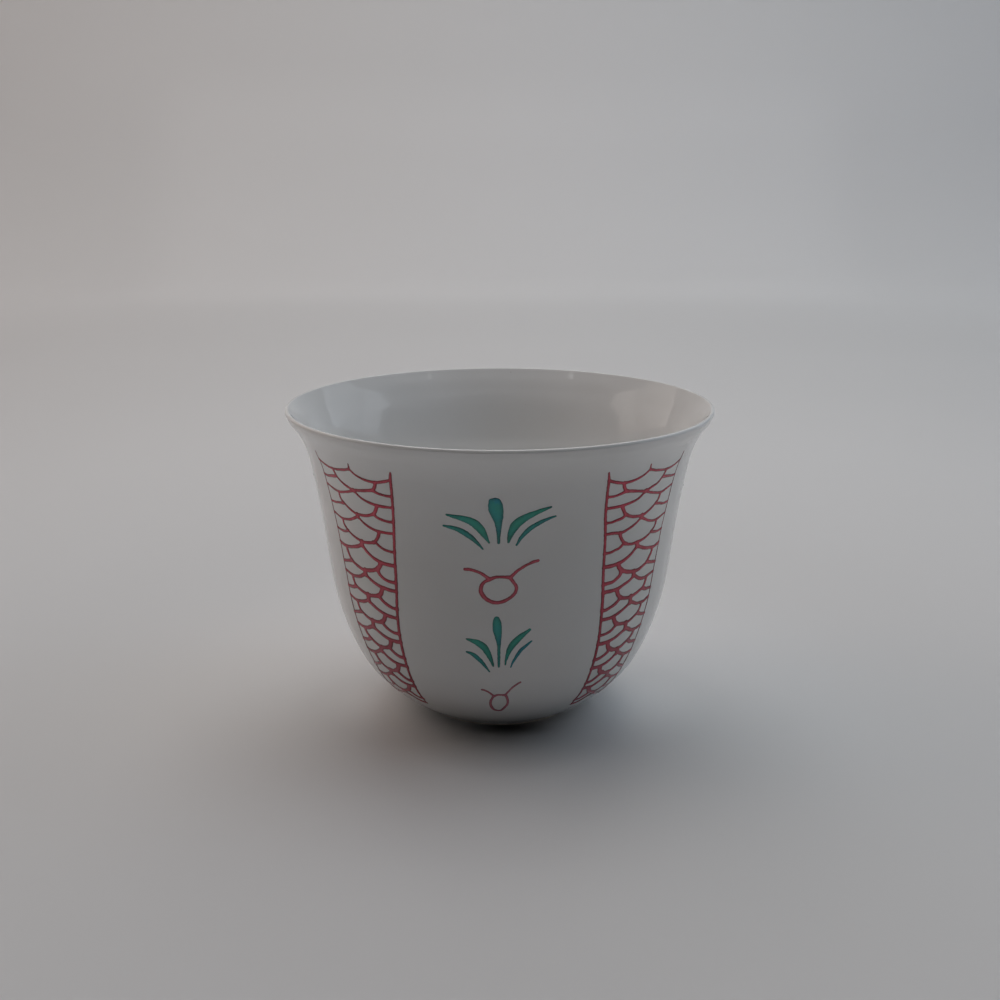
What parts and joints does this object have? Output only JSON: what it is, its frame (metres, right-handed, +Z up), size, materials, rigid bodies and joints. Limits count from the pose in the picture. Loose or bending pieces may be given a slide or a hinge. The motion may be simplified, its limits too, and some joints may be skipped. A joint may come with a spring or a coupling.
{
  "type": "coffee cup",
  "caption": "Small handleless porcelain coffee cup with a flared lip and foot ring, decorated in raised enamel with scale-net panels, leaf sprigs and berries.",
  "frame": {"origin": "centre of the foot ring's footprint, on the surface that the cup stands on", "axes": "+Z is up along the cup's axis of revolution, -Y is the front, +X is to the right seen from the front"},
  "size_m": [0.068, 0.068, 0.05],
  "materials": {
    "porcelain": "clear gloss glaze on white porcelain",
    "enamel_red": "fired gloss enamel, crimson",
    "enamel_green": "fired gloss enamel, blue-green"
  },
  "bodies": {
    "root": {"porcelain_body": "porcelain", "scale_panel_front_right": "enamel_red", "scale_panel_back_right": "enamel_red", "scale_panel_back_left": "enamel_red", "scale_panel_front_left": "enamel_red", "upper_berry_front": "enamel_red", "upper_berry_right": "enamel_red", "upper_berry_back": "enamel_red", "upper_berry_left": "enamel_red", "lower_berry_front": "enamel_red", "lower_berry_right": "enamel_red", "lower_berry_back": "enamel_red", "lower_berry_left": "enamel_red", "upper_leaves_front": "enamel_green", "upper_leaves_right": "enamel_green", "upper_leaves_back": "enamel_green", "upper_leaves_left": "enamel_green", "lower_leaves_front": "enamel_green", "lower_leaves_right": "enamel_green", "lower_leaves_back": "enamel_green", "lower_leaves_left": "enamel_green"}
  },
  "joints": []
}
